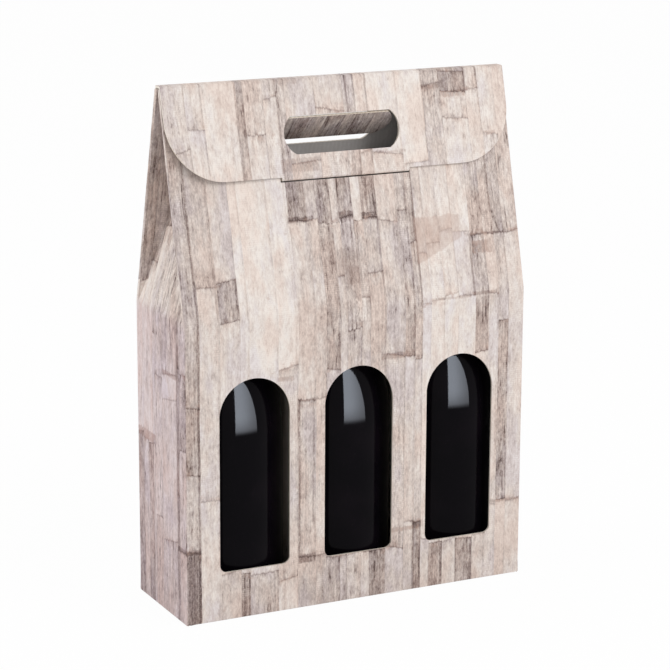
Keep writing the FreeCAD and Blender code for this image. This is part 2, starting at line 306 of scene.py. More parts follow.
# Single marks: U from and to, V from and to, how dark (or pale), how rusty.
carton_marks = [
    (-118.8, -117.4, -5, 330, 0.26, 0.0), (-45.4, -43.8, 37, 147, 0.40, 0.0),
    (-34.9, -33.6, 60, 147, 0.28, 0.0), (-45.0, -33.6, 145, 147, 0.24, 0.2),
    (-45.4, -33.0, 32, 38, 0.40, 0.1), (17.0, 41.0, 167.5, 171.5, 0.20, 0.6),
    (20.0, 26.0, 171.0, 176.0, -0.16, 0.0), (60.0, 86.0, 204.6, 206.4, 0.20, 0.3),
    (42.0, 43.4, -5, 50, 0.30, 0.0), (42.0, 50.0, 45, 50, 0.24, 0.0),
    (103.0, 127.0, 54.4, 56.6, 0.22, 0.7), (-61.0, -49.0, 161, 164, 0.14, 0.5),
    (47.2, 48.4, 205, 335, 0.22, 0.0), (-47.6, -46.6, 170, 300, 0.20, 0.0),
    (88.0, 89.3, 205, 246, 0.26, 0.0), (87.0, 106.0, 205.6, 208.0, 0.24, 0.2),
    (86.0, 126.0, 246.4, 248.2, 0.20, 0.0), (-46.5, -27.5, 266, 269.5, 0.30, 0.0),
    (-10.0, 2.5, 266, 271.0, 0.30, 0.0), (8.0, 19.5, 264, 269.0, 0.32, 0.0),
    (-22.0, 8.0, 262.4, 264.6, -0.22, 0.0), (90.0, 105.0, 234, 243.0, 0.20, 0.7),
    (-13.0, 4.0, 222, 246, 0.12, 0.1), (-3.0, 5.0, 196, 212, -0.16, 0.0),
    (-211.0, -179.0, 113.0, 119.5, 0.16, 1.0), (-167.0, -142.0, 166.0, 169.0, 0.22, 0.6),
    (-142.5, -139.5, -5, 206, 0.22, 0.0), (-142.0, -118.0, 49.0, 52.5, 0.32, 0.2),
    (-126.0, -119.5, -5, 48, 0.18, 0.1), (20.0, 47.0, 44.0, 47.0, 0.14, 0.7),
]
carton_start = carton_planks[0][0]
carton_span = HALF_W - carton_start
print(len(carton_planks), "plank columns over", carton_span, "mm of sheet")

# %% [markdown]
# The lid is a second sheet with planks of its own. V runs up it too: 0 at the ridge's outer edge,
# and below 0 down the flap.

# %% Plank layout of the lid
lid_planks = [
    (-127.5, (-44,), (0.66, 0.72), (0.5, 0.5)),
    (-112.0, (-30,), (0.80, 0.74), (0.3, 0.5)),
    (-100.0, (), (0.84,), (0.3,)),
    (-75.5, (), (0.55,), (0.8,)),
    (-70.5, (-36,), (0.72, 0.68), (0.5, 0.6)),
    (-56.0, (-12,), (0.76, 0.66), (0.4, 0.6)),
    (-46.0, (), (0.60,), (0.8,)),
    (-40.0, (-56,), (0.70, 0.72), (0.5, 0.4)),
    (-18.0, (-22,), (0.70, 0.78), (0.6, 0.3)),
    (2.0, (), (0.60,), (0.8,)),
    (11.0, (-52,), (0.68, 0.72), (0.6, 0.5)),
    (20.0, (-54,), (0.74, 0.86), (0.3, 0.2)),
    (43.0, (-62,), (0.78, 0.87), (0.3, 0.2)),
    (62.5, (-10,), (0.64, 0.58), (0.8, 0.9)),
    (76.5, (-34, -16, -2), (0.82, 0.74, 0.40, 0.60), (0.3, 0.5, 0.8, 0.5)),
    (96.0, (-15,), (0.80, 0.68), (0.4, 0.6)),
    (106.0, (-46,), (0.74, 0.80), (0.6, 0.4)),
    (118.0, (), (0.78,), (0.4,)),
]
lid_marks = [
    (-75.8, -74.4, -66, 2, 0.28, 0.0), (-46.6, -45.2, -66, -8, 0.26, 0.0),
    (5.0, 6.6, -26, 2, 0.30, 0.0), (19.8, 20.8, -60, 2, 0.20, 0.0),
    (62.2, 63.4, -56, 2, 0.22, 0.0), (77.0, 96.0, -19.0, -15.0, 0.14, 0.8),
    (-47.0, -30.0, -3.5, 2, 0.16, 0.3), (96.0, 97.2, -15, 2, 0.22, 0.0),
    (-100.8, -99.8, -60, 2, 0.14, 0.0), (62.0, 76.0, -13.0, -10.0, 0.24, 0.6),
    (-47.0, -20.0, -62.0, -53.0, 0.14, 0.3), (24.0, 46.0, -54.0, -52.4, 0.20, 0.3),
]
# The tongue has narrow planks, streaky and worn, and set dark: painted shade, as the swung-in
# tongue lies in shade.
tongue_planks_with_painted_shade = [
    (-127.5, (), (0.50,), (0.9,)),
    (-34.0, (), (0.42,), (1.0,)),
    (-22.0, (), (0.56,), (0.9,)),
    (-9.0, (), (0.40,), (1.0,)),
    (4.0, (), (0.54,), (1.0,)),
    (13.0, (), (0.38,), (1.0,)),
    (26.0, (), (0.50,), (0.9,)),
]
tongue_marks = [(-30.0, -12.0, -60.0, 2.0, 0.08, 0.3), (12.6, 13.8, -60.0, 2.0, 0.3, 0.0)]
lid_start = lid_planks[0][0]
print(len(lid_planks), "plank columns on the lid")

# %% Printed finish
DARK_WOOD = paint(92, 74, 70)
WORN_WOOD = paint(146, 129, 123)
MID_WOOD = paint(190, 175, 168)
PALE_WOOD = paint(222, 209, 201)
WHITE_WOOD = paint(243, 235, 228)
RUST = paint(188, 158, 144)


def filled(values, count, rest):
    """The values, followed by rest until there are count of them."""
    return (*values, *[rest] * (count - len(values)))


def plank_ramps(tree, planks, start, span, place):
    """Looks up a point's plank column: its edges, joints, tones and wear."""
    steps = [(row[0] - start) / span for row in planks] + [1.0]
    rows = []
    for index, (left, joints, tones, wear) in enumerate(planks):
        edges = (steps[index], steps[index + 1], (index * 0.618) % 1.0, 1.0)
        heights = [min(height + LOWEST, NO) / NO for height in joints]
        rows.append((
            steps[index], edges, filled(heights, 4, 1.0), filled(tones, 4, tones[-1]),
            filled(wear, 4, wear[-1]),
        ))
    made = []
    for number in range(1, 5):
        stops = [(row[0], row[number]) for row in rows]
        ramp = node(
            tree, "ShaderNodeValToRGB", {"stops": stops, "interpolation": "CONSTANT"}, {0: place}
        )
        parts = node(tree, "ShaderNodeSeparateColor", {}, {0: ramp})
        made.append([
            parts, parts.output("Green"), parts.output("Blue"), ramp.output("Alpha")
        ])
    return made


def box_mask(u, v, low_u, high_u, low_v, high_v, soft=0.6):
    """1 inside a rectangle of the flat sheet and 0 outside it, with soft edges."""
    across = (u - low_u).least(high_u - u)
    return across.least(v - low_v).least(high_v - v).rise(-soft, soft)


def printed_planks(name, planks, marks, start, span):
    """Print of upright weathered planks, read from a layout on the flat sheet."""
    material, tree = new_finish(name)
    flat = sheet_place(tree)
    u, v = flat * 1000.0, flat.output("Y") * 1000.0
    # Joints and seams wander a little, as the planks are rough.
    wander = noise(tree, vector(tree, u / 12.0, v / 40.0, 3.0), 4.0, 0.6)
    ragged = noise(tree, vector(tree, u / 2.0, v / 60.0, 8.0), 4.0, 0.75)
    around = u + (wander - 0.5) * 1.8
    place = ((around - start) / span).fraction()
    edges, joints, tones, wears = plank_ramps(tree, planks, start, span, place)
    across = (place - (edges[0] + edges[1]) * 0.5) * span
    up = v + (ragged - 0.5) * 3.2 + across * (edges[2] - 0.5) * 0.45
    tone, worn, plank = tones[0], wears[0], edges[2]
    nearest = None
    for index in range(3):
        height = joints[index] * float(NO) - float(LOWEST)
        above = up > height
        tone = tone + above * (tones[index + 1] - tones[index])
        worn = worn + above * (wears[index + 1] - wears[index])
        plank = plank + above * 0.37
        gap = (up - height).size()
        nearest = gap if nearest is None else nearest.least(gap)
    seam = (place - edges[0]).least(edges[1] - place) * span
    # The side panel is the more worn one.
    worn = (worn + u.rise(-126.0, -129.0) * 0.35 - 0.08).least(1.0).most(0.0)
    seed = plank * 37.0
    # From large to small: weather stains, mottled whitewash, long grain and fine grain.
    stain = noise(tree, vector(tree, u / 17.0, v / 27.0, seed), 5.0, 0.62)
    mottle = noise(tree, vector(tree, u / 3.2, v / 7.5, seed), 5.0, 0.72)
    streak = noise(tree, vector(tree, u / 1.5, v / 30.0, seed), 4.0, 0.62)
    grain = noise(tree, vector(tree, u / 0.9, v / 2.6, seed), 3.0, 0.7)
    shade = (
        tone + 0.03
        + (stain - 0.5) * 0.50
        + (mottle - 0.5) * (0.66 + worn * 0.40)
        + (streak - 0.5) * (0.16 + worn * 1.00)
        + (grain - 0.5) * (0.62 + worn * 0.30)
    )
    # Old saw marks run across some planks.
    sawn = (plank * 7.3).fraction().rise(0.45, 0.7) * stain.rise(0.48, 0.60)
    teeth = (v * (2 * math.pi / 1.45) + wander * 9.0).maths("SINE", v * 4.33 + wander * 9.0)
    shade = shade + teeth * sawn * (grain.rise(0.4, 0.6)) * 0.075
    # Worn planks have dark cracks along the grain, and flakes where the whitewash came off.
    crack = streak.rise(0.37, 0.33) * mottle.rise(0.62, 0.45) * worn.rise(0.25, 0.8)
    flake = (mottle + (streak - 0.5) * 0.5).rise(0.36, 0.31) * (worn * 0.8 + 0.2)
    seam_line = seam.rise(0.75, 0.15) * (wander + streak * 0.5).rise(0.55, 0.85)
    joint_line = nearest.rise(1.0, 0.25) * mottle.rise(0.30, 0.45)
    under = nearest.rise(4.5, 0.5) * (mottle.rise(0.6, 0.4)) * 0.12
    shade = shade - crack * 0.36 - flake * 0.20 - seam_line * 0.15 - joint_line * 0.20 - under
    # The print is a little darker towards the carton's foot.
    shade = shade - v.rise(70.0, 15.0) * v.rise(-3.0, 0.0) * 0.07
    torn = mottle + (streak - 0.5) * 0.6
    rusty = None
    for low_u, high_u, low_v, high_v, depth, orange in marks:
        mark = box_mask(
            u + (wander - 0.5) * 2.4 + (mottle - 0.5) * 3.0,
            v + (ragged - 0.5) * 3.0 + (mottle - 0.5) * 4.0,
            low_u, high_u, low_v, high_v,
        ) * torn.rise(0.34, 0.52)
        shade = shade - mark * depth
        if orange:
            rusty = mark * orange if rusty is None else rusty.most(mark * orange)
    wood = node(tree, "ShaderNodeValToRGB", {"stops": [
        (0.02, DARK_WOOD), (0.25, WORN_WOOD), (0.5, MID_WOOD), (0.74, PALE_WOOD), (1.0, WHITE_WOOD),
    ]}, {0: shade})
    warmth = noise(tree, vector(tree, u / 24.0, v / 60.0, seed + 5.0), 4.0, 0.6)
    wood = mix(tree, warmth.rise(0.46, 0.62) * 0.45, wood, paint(250, 234, 226), "MULTIPLY")
    wood = mix(tree, warmth.rise(0.50, 0.36) * 0.6, wood, paint(240, 240, 250), "MULTIPLY")
    rust = nearest.rise(7.0, 0.5) * noise(
        tree, vector(tree, u / 8.0, v / 6.0, 21.0), 4.0, 0.6
    ).rise(0.53, 0.66)
    spot = noise(tree, vector(tree, u / 7.0, v / 9.0, seed + 9.0), 4.0, 0.65).rise(0.66, 0.74)
    # One tan plank under the lid ends in a slanting lower edge.
    tan = box_mask(u, up, 47.0, 82.0, (u - 47.0) * 0.45 + 230.0, 262.0, 0.8)
    rusty = (rusty * mottle.rise(0.34, 0.60)).most(tan * 0.55)
    wood = mix(tree, (rust * 0.45).most(spot * 0.35).most(rusty * 0.7), wood, RUST)
    # On the side panel, below the shoulder, the print is tinted pinker and made darker: a pink tint
    # plus painted shade on that face.
    side_tint_and_painted_shade = u.rise(-126.0, -129.0) * v.rise(214.0, 200.0)
    wood = mix(tree, side_tint_and_painted_shade, wood, paint(237, 231, 238), "MULTIPLY")
    grit = noise(tree, vector(tree, u, v, 1.0), 3.0, 0.6, 1.6)
    bump = node(
        tree, "ShaderNodeBump", {}, {"Strength": 0.12, "Distance": 0.0002, "Height": grit}
    )
    surface(tree, node(tree, "ShaderNodeBsdfPrincipled", {}, {
        "Base Color": wood, "Roughness": 0.62 + (grit - 0.5) * 0.2, "Normal": bump,
        "Specular IOR Level": 0.3,
    }))
    return material


carton_print = printed_planks(
    "plank print on the carton", carton_planks, carton_marks, carton_start, carton_span
)
lid_print = printed_planks("plank print on the lid", lid_planks, lid_marks, lid_start, WIDTH)
# The tongue's print carries painted shade in its dark tones.
tongue_print_with_painted_shade = printed_planks(
    "plank print on the tongue", tongue_planks_with_painted_shade, tongue_marks, lid_start, WIDTH
)
print("plank prints made")

# %% [markdown]
# ### Bare board
# Inside, the sheet is unprinted grey-white paper with the faint ribs of the corrugation under it.
# At every cut the middle of the board shows, paler and fibrous.

# %% Liner, cut edge and divider board
def bare_board(name, light, dark, rib_depth):
    """Unprinted paper over corrugation, whose ribs run up the sheet."""
    material, tree = new_finish(name)
    place = object_place(tree)
    flat = sheet_place(tree)
    fibre = noise(tree, place, 4.0, 0.6, 420.0)
    cloud = noise(tree, place, 3.0, 0.5, 26.0)
    ribs = (flat * (2 * math.pi / 0.0031)).maths("SINE", flat * (2 * math.pi / 0.0031))
    share = cloud.rise(0.3, 0.7) * 0.45 + (fibre - 0.5) * 0.7 + 0.2 + ribs * rib_depth * 0.3
    colour = mix(tree, share.most(0.0).least(1.0), light, dark)
    bump = node(tree, "ShaderNodeBump", {}, {
        "Strength": 0.25, "Distance": 0.0003, "Height": ribs * rib_depth + fibre * 0.4,
    })
    surface(tree, node(tree, "ShaderNodeBsdfPrincipled", {}, {
        "Base Color": colour, "Roughness": 0.86 + (fibre - 0.5) * 0.2, "Normal": bump,
        "Specular IOR Level": 0.2,
    }))
    return material


liner = bare_board("unprinted liner", paint(214, 210, 208), paint(190, 184, 180), 0.3)
divider_board = bare_board("divider board", paint(206, 196, 186), paint(182, 170, 158), 0.4)
cut_edge = bare_board("cut edge of the board", paint(238, 230, 220), paint(205, 190, 172), 0.6)
print("bare boards made")

# %% [markdown]
# ### Glass and capsule
# The bottles are filled with dark wine, so the glass looks almost black and shows only mirror
# images of the lamps. The capsule is a shrunk satin sleeve.

# %% Bottle glass and capsule
def dark_glass():
    material, tree = new_finish("dark bottle glass")
    place = object_place(tree)
    smear = noise(tree, place, 3.0, 0.5, 30.0)
    dust = noise(tree, place, 4.0, 0.7, 300.0)
    colour = mix(tree, smear.rise(0.4, 0.7), paint(8, 6, 10), paint(14, 10, 15))
    colour = mix(tree, dust.rise(0.70, 0.78) * 0.1, colour, paint(120, 118, 116))
    surface(tree, node(tree, "ShaderNodeBsdfPrincipled", {}, {
        "Base Color": colour, "Roughness": 0.03 + smear.rise(0.35, 0.8) * 0.06,
        "Specular IOR Level": 0.048,
    }))
    return material


def satin_sleeve():
    material, tree = new_finish("satin capsule")
    place = object_place(tree)
    grain = noise(tree, place, 3.0, 0.6, 700.0)
    cloud = noise(tree, place, 2.0, 0.5, 60.0)
    bump = node(
        tree, "ShaderNodeBump", {}, {"Strength": 0.15, "Distance": 0.0001, "Height": grain}
    )
    surface(tree, node(tree, "ShaderNodeBsdfPrincipled", {}, {
        "Base Color": mix(tree, cloud.rise(0.3, 0.7), paint(40, 36, 38), paint(54, 48, 50)),
        "Roughness": 0.34 + (grain - 0.5) * 0.15, "Normal": bump,
    }))
    return material


glass, sleeve = dark_glass(), satin_sleeve()
print("glass and capsule made")

# %% [markdown]
# ## Flat outlines
# All board is cut from a flat sheet first, so its panels are drawn flat, holes and all, and filled
# with triangles. Constrained Delaunay triangulation keeps each drawn edge, and a loose grid of
# inner points lets a panel bow a little later.

# %% Outline helpers
def arc(start, through, end, steps=10):
    """Points on the circle through three points, from start up to but not at end."""
    (ax, ay), (bx, by), (cx, cy) = start, through, end
    d = 2 * (ax * (by - cy) + bx * (cy - ay) + cx * (ay - by))
    sa, sb, sc = ax * ax + ay * ay, bx * bx + by * by, cx * cx + cy * cy
    ox = (sa * (by - cy) + sb * (cy - ay) + sc * (ay - by)) / d
    oy = (sa * (cx - bx) + sb * (ax - cx) + sc * (bx - ax)) / d
    first = math.atan2(ay - oy, ax - ox)
    turn = math.atan2(cy - oy, cx - ox) - first
    half = math.atan2(by - oy, bx - ox) - first
    full = 2 * math.pi
    if (half % full) < (turn % full):
        turn = turn % full
    else:
        turn = (turn % full) - full
    radius = math.hypot(ax - ox, ay - oy)
    angles = [first + turn * step / steps for step in range(steps)]
    return [(ox + radius * math.cos(a), oy + radius * math.sin(a)) for a in angles]


def inside(point, loops):
    """True if the point is in the outline and in none of its holes."""
    x, y = point
    hit = False
    for loop in loops:
        for (x0, y0), (x1, y1) in zip(loop, loop[1:] + loop[:1]):
            if (y0 > y) != (y1 > y) and x < x0 + (y - y0) * (x1 - x0) / (y1 - y0):
                hit = not hit
    return hit


def near_edge(point, loops, reach):
    p = Vector(point)
    for loop in loops:
        for a, b in zip(loop, loop[1:] + loop[:1]):
            a, b = Vector(a), Vector(b)
            t = max(0.0, min(1.0, (p - a).dot(b - a) / max((b - a).length_squared, 1e-9)))
            if (a + t * (b - a) - p).length < reach:
                return True
    return False


def fill(loops, grid=None):
    """Triangles of a flat outline with holes: (points, faces)."""
    points, edges = [], []
    for loop in loops:
        base = len(points)
        points += [Vector(p) for p in loop]
        edges += [(base + i, base + (i + 1) % len(loop)) for i in range(len(loop))]
    if grid:
        xs, ys = [p[0] for p in loops[0]], [p[1] for p in loops[0]]
        for gx in np.arange(min(xs) + grid / 2, max(xs), grid):
            for gy in np.arange(min(ys) + grid / 2, max(ys), grid):
                spot = (float(gx), float(gy))
                if inside(spot, loops) and not near_edge(spot, loops, grid * 0.4):
                    points.append(Vector(spot))
    made, _, faces, _, _, _ = delaunay_2d_cdt(points, edges, [], 0, 1e-5)
    kept = []
    for face in faces:
        centre = sum((made[i] for i in face), Vector((0, 0))) / len(face)
        if inside(tuple(centre), loops):
            a, b, c = (made[i] for i in face[:3])
            turned = (b - a).cross(c - a) < 0
            kept.append(list(reversed(face)) if turned else list(face))
    return [tuple(p) for p in made], kept


# %% Outlines of windows and slots
WINDOW_PITCH, WINDOW_HALF, SILL, WINDOW_TOP, WINDOW_CORNER = 77.5, 25.8, 33.4, 165.4, 5.5


def window(centre):
    r, c = WINDOW_HALF, WINDOW_CORNER
    cut = c * (1 - math.sqrt(0.5))
    left, right, spring = centre - r, centre + r, WINDOW_TOP - r
    return (
        arc((left, SILL + c), (left + cut, SILL + cut), (left + c, SILL), 6)
        + arc((right - c, SILL), (right - cut, SILL + cut), (right, SILL + c), 6)
        + arc((right, spring), (centre, WINDOW_TOP), (left, spring), 32)
    )


def slot(top_half, bulge_half, bottom_half, top, bulge, bottom, straight=False):
    """Hand slot on a slope, its distances measured down from the ridge."""
    top, bulge, bottom = RIDGE_U - top, RIDGE_U - bulge, RIDGE_U - bottom
    if straight:
        r = 2.0
        cut = r * (1 - math.sqrt(0.5))
        left = arc(
            (-bulge_half, top - r), (-bulge_half + cut, top - cut), (-bulge_half + r, top), 5
        ) + arc((bulge_half - r, top), (bulge_half - cut, top - cut), (bulge_half, top - r), 5)
        # The lower half of each end, from its widest point down to the bottom edge.
        full = arc((top_half, top), (bulge_half, bulge), (bottom_half, bottom), 16)
        lower = [p for p in full if p[1] < bulge]
        right = [(bulge_half, bulge)] + lower + [(bottom_half, bottom)]
        return left + right + [(-x, y) for x, y in reversed(right)]
    right = arc((top_half, top), (bulge_half, bulge), (bottom_half, bottom), 16)
    right += [(bottom_half, bottom)]
    return right + [(-x, y) for x, y in reversed(right)]


def hand_slot(step, straight=False):
    """The lid's hand slot, grown all round by a step."""
    return slot(37.0 + step, 43.0 + step, 35.0 + step, 25.0 - step, 37.5, 50.5 + step, straight)


# %% [markdown]
# ## The folded carton
# Each panel is a flat outline laid on its own plane. Panels that share a crease share the points
# on it, so together they are one skin, the printed side. The skin then gets its thickness: every
# point moves inwards by the board's thickness, measured square to each panel that meets there.
# The creases that stand out are rounded with a bevel, as the liner stretches over a fold.

# %% Panels of the carton
class Skin:
    """Flat panels joined at shared points, with the print's place on each."""

    def __init__(self):
        self.points, self.lookup, self.faces, self.panels = [], {}, [], []

    def index(self, point):
        key = tuple(round(c, 2) for c in point)
        if key not in self.lookup:
            self.lookup[key] = len(self.points)
            self.points.append(Vector(point))
        return self.lookup[key]

    def panel(self, loops, origin, along, up, print_at, grid=None):
        """Adds an outline; along and up are its plane's axes, outward is along x up."""
        flat, triangles = fill(loops, grid)
        along, up, origin = Vector(along), Vector(up), Vector(origin)
        ids = [self.index(origin + along * a + up * b) for a, b in flat]
        self.panels.append((origin, along, up, along.cross(up).normalized(), print_at))
        for triangle in triangles:
            face = [ids[i] for i in triangle]
            if len(set(face)) == 3:
                self.faces.append((face, len(self.panels) - 1))

    def nearest_panel(self, point, outward):
        """The panel that a point of the board, facing this way, belongs to."""
        best, chosen = -9.0, None
        for panel in self.panels:
            height = abs((point - panel[0]).dot(panel[3]))
            score = outward.dot(panel[3]) - min(height, 4.0) * 0.2
            if score > best:
                best, chosen = score, panel
        return chosen

    def thick(self, board):
        """The skin with its thickness: a mesh whose face layers are print, liner and edge."""
        normals = [[] for _ in self.points]
        uses = {}
        for face, panel in self.faces:
            outward = self.panels[panel][3]
            for i in face:
                if not any(outward.dot(n) > 0.999 for n in normals[i]):
                    normals[i].append(outward)
            for a, b in zip(face, face[1:] + face[:1]):
                uses[(a, b)] = True
        bm = bmesh.new()
        outer = [bm.verts.new(p) for p in self.points]
        inner = []
        for point, found in zip(self.points, normals):
            step = np.linalg.lstsq(
                np.array([tuple(n) for n in found]), -board * np.ones(len(found)), rcond=None
            )[0]
            inner.append(bm.verts.new(point + Vector(step)))
        for face, _ in self.faces:
            bm.faces.new([outer[i] for i in face]).material_index = 0
            bm.faces.new([inner[i] for i in reversed(face)]).material_index = 1
        for a, b in uses:
            if (b, a) not in uses:
                rim = bm.faces.new([outer[b], outer[a], inner[a], inner[b]])
                rim.material_index = 2
        bm.normal_update()
        return bm


def rectangle(a0, a1, b0, b1):
    return [(a0, b0), (a1, b0), (a1, b1), (a0, b1)]


skin = Skin()
FLAP_HALF = HALF_W - BOARD - 0.5
HORN_LOW = on_slope(0, 0, -FOLD)
HORN_HIGH = on_slope(0, SLOPE, -FOLD)
APEX_X = HALF_W - HALF_D
LEAN = math.atan2(HALF_D, HORN_HIGH.z - HORN_LOW.z)
bottom_edge = [(-HALF_W, 0), (-FLAP_HALF, 0), (FLAP_HALF, 0), (HALF_W, 0)]
panel_outline = bottom_edge + [(HALF_W, SHOULDER), (-HALF_W, SHOULDER)]
windows = [window((i - 1) * WINDOW_PITCH) for i in range(3)]
SLIT_HALF, SLIT_TOP, SLIT_LOW = 48.25, RIDGE_U - 65.3, RIDGE_U - 68.2
slit = rectangle(-SLIT_HALF, SLIT_HALF, SLIT_LOW, SLIT_TOP)
SLOT_ROOM = 0.4
front_slot = hand_slot(SLOT_ROOM, straight=True)
back_slot = slot(28.0, 36.0, 28.0, 27.0, 37.6, 48.2)
slope_outline = rectangle(-HALF_W, HALF_W, 0, SLOPE)
skin.panel([panel_outline, *windows], (0, -HALF_D, 0), (1, 0, 0), (0, 0, 1),
           lambda a, b: (a, b), grid=17)
skin.panel([slope_outline, front_slot, slit], on_slope(0, 0, 0), (1, 0, 0), (0, SIN, COS),
           lambda a, b: (a, SHOULDER + b), grid=17)
skin.panel([panel_outline], (0, HALF_D, 0), (-1, 0, 0), (0, 0, 1),
           lambda a, b: (2 * HALF_D + WIDTH + a, b), grid=17)
skin.panel([slope_outline, back_slot], on_slope(0, 0, 0, 1), (-1, 0, 0), (0, -SIN, COS),
           lambda a, b: (2 * HALF_D + WIDTH + a, SHOULDER + b), grid=17)
side_outline = [
    (-HALF_D, 0), (HALF_D, 0), (HALF_D, SHOULDER), (-HORN_LOW.y, HORN_LOW.z),
    (HORN_LOW.y, HORN_LOW.z), (-HALF_D, SHOULDER),
]
for side in (-1, 1):
    print_at = (
        (lambda a, b: (-HALF_W - HALF_D + a, b)) if side < 0
        else (lambda a, b: (HALF_W + HALF_D + a, b))
    )
    across = (0, side, 0)
    skin.panel([side_outline], (side * HALF_W, 0, 0), across, (0, 0, 1), print_at, grid=17)
    for way in (-1, 1):
        top, low = on_slope(0, SLOPE, 0), on_slope(0, 0, 0)
        horn = [
            (-low.y, low.z), (-top.y, top.z),
            (-HORN_HIGH.y, HORN_HIGH.z), (-HORN_LOW.y, HORN_LOW.z),
        ]
        horn = [(way * a, b) for a, b in horn]
        skin.panel([horn], (side * HALF_W, 0, 0), across, (0, 0, 1), print_at)
    fold_print = (
        (lambda a, b: (-HALF_W - HALF_D + a, HORN_LOW.z + b)) if side < 0
        else (lambda a, b: (HALF_W + HALF_D + a, HORN_LOW.z + b))
    )
    gusset = [
        (HORN_LOW.y, 0), (-HORN_LOW.y, 0),
        (-HORN_HIGH.y, (HORN_HIGH.z - HORN_LOW.z) / math.cos(LEAN)),
        (HORN_HIGH.y, (HORN_HIGH.z - HORN_LOW.z) / math.cos(LEAN)),
    ]
    skin.panel([gusset], (side * HALF_W, 0, HORN_LOW.z), across,
               (-side * math.sin(LEAN), 0, math.cos(LEAN)), fold_print, grid=17)
    for face in (-1, 1):
        # The small triangle lies against the slope's inside, its print towards the middle.
        way = face * side
        small = [(way * HALF_W, 0), (way * HALF_W, SLOPE), (way * APEX_X, SLOPE)]
        shift = side * (HALF_W + FOLD + HALF_W) if face < 0 else side * (HALF_D * 2 - FOLD)
        skin.panel(
            [small], on_slope(0, 0, -FOLD, face), (face, 0, 0), (0, -face * SIN, COS),
            (lambda a, b, s=shift: (s + a, SHOULDER + b)),
        )
print(len(skin.faces), "triangles in the carton's skin")

# %% Bottom flaps of the carton
SEAM, SEAM_GAP = 6.0, 0.5
near, far, quarter = SEAM + SEAM_GAP / 2, -SEAM + SEAM_GAP / 2, FLAP_HALF / 2
front_flap = [
    (FLAP_HALF, HALF_D), (-FLAP_HALF, HALF_D), (-FLAP_HALF, near), (-quarter, near),
    (-quarter, far), (quarter, far), (quarter, near), (FLAP_HALF, near),
]
skin.panel([front_flap], (0, 0, 0), (1, 0, 0), (0, -1, 0), lambda a, b: (a, b - HALF_D))
inner_quarter = quarter + SEAM_GAP
back_flap = [
    (-FLAP_HALF, -HALF_D), (FLAP_HALF, -HALF_D), (FLAP_HALF, near - SEAM_GAP),
    (inner_quarter, near - SEAM_GAP), (inner_quarter, far - SEAM_GAP),
    (-inner_quarter, far - SEAM_GAP), (-inner_quarter, near - SEAM_GAP),
    (-FLAP_HALF, near - SEAM_GAP),
]
skin.panel([back_flap], (0, 0, 0), (1, 0, 0), (0, -1, 0),
           lambda a, b: (2 * HALF_D + WIDTH - a, -HALF_D - b))


# %% Thickness, creases and loose flaps
def crease_edges(bm, least_angle):
    """Outer edges where the print folds away from the viewer."""
    found = []
    for edge in bm.edges:
        if len(edge.link_faces) == 2 and all(f.material_index == 0 for f in edge.link_faces):
            if edge.calc_face_angle_signed() > least_angle:
                found.append(edge)
    return found


def plate(low, high):
    """Closed box between two corners, for the flaps that are glued inside."""
    bm = bmesh.new()
    bmesh.ops.create_cube(bm, size=1.0)
    size = Vector(high) - Vector(low)
    for vert in bm.verts:
        vert.co = Vector(low) + Vector(((vert.co[i] + 0.5) * size[i] for i in range(3)))
    bmesh.ops.bevel(bm, geom=bm.edges[:], offset=0.15, segments=1, affect="EDGES")
    for face in bm.faces:
        face.material_index = 1
    return bm


def join(target, extra):
    """Copies one bmesh into another."""
    made = {v: target.verts.new(v.co) for v in extra.verts}
    for face in extra.faces:
        target.faces.new([made[v] for v in face.verts]).material_index = face.material_index
    extra.free()


def finish_mesh(name, bm, finishes, smooth_angle=35):
    """A mesh object in metres, smooth over its bends and sharp at its cuts."""
    mesh = bpy.data.meshes.new(name)
    bm.to_mesh(mesh)
    bm.free()
    for finish in finishes:
        mesh.materials.append(finish)
    mesh.shade_smooth()
    mesh.set_sharp_from_angle(angle=math.radians(smooth_angle))
    piece = bpy.data.objects.new(name, mesh)
    bpy.context.scene.collection.objects.link(piece)
    return piece


def made_plain(piece):
    """Applies every modifier, so that the piece is a plain mesh."""
    mesh = bpy.data.meshes.new_from_object(
        piece.evaluated_get(bpy.context.evaluated_depsgraph_get())
    )
    piece.modifiers.clear()
    piece.data = mesh
    mesh.name = piece.name
    return piece


carton = skin.thick(BOARD)
creases = crease_edges(carton, math.radians(10))
bmesh.ops.bevel(carton, geom=creases, offset=0.9, segments=3, profile=0.5, affect="EDGES",
                clamp_overlap=True)
carton.normal_update()
end_left = BOTTLE_SHIFT - WALL - BOARD / 2 - 1.3
end_right = -end_left
for from_x, to_x in (
    (-HALF_W + BOARD / 2, end_left - 5.0), (end_right + 5.0, HALF_W - BOARD / 2)
):
    join(carton, plate((from_x, -HALF_D + 2, BOARD + GAP), (to_x, HALF_D - 2, FOLD)))
join(carton, plate((-HALF_W + BOARD / 2, 38.4, 7), (-HALF_W + 16, 39.8, SHOULDER - 7)))
bmesh.ops.dissolve_degenerate(carton, dist=0.001, edges=carton.edges[:])
layer = carton.loops.layers.uv.new("sheet")
carton.normal_update()
for face in carton.faces:
    centre = face.calc_center_median()
    outward = face.normal if face.material_index == 0 else -face.normal
    origin, along, up, _, print_at = skin.nearest_panel(centre, outward)
    for loop in face.loops:
        offset = loop.vert.co - origin
        place = print_at(offset.dot(along), offset.dot(up))
        loop[layer].uv = (place[0] * MM, place[1] * MM)
bmesh.ops.scale(carton, vec=(MM, MM, MM), verts=carton.verts)
carton_piece = finish_mesh("carton_sheet", carton, [carton_print, liner, cut_edge])
steady = carton_piece.modifiers.new("panel shading", "WEIGHTED_NORMAL")
steady.keep_sharp = True
made_plain(carton_piece)
print("carton:", len(carton_piece.data.polygons), "faces,", len(creases), "crease edges")

# %% [markdown]
# ## Sheets folded along a path
# The lid, the divider and the tongue are flat plates that bend along a line. A Geometry Nodes tree
# does the folding: it reads how far along the sheet a point lies, samples a path curve at that
# length, and moves the point there, square to the path by its height in the board.

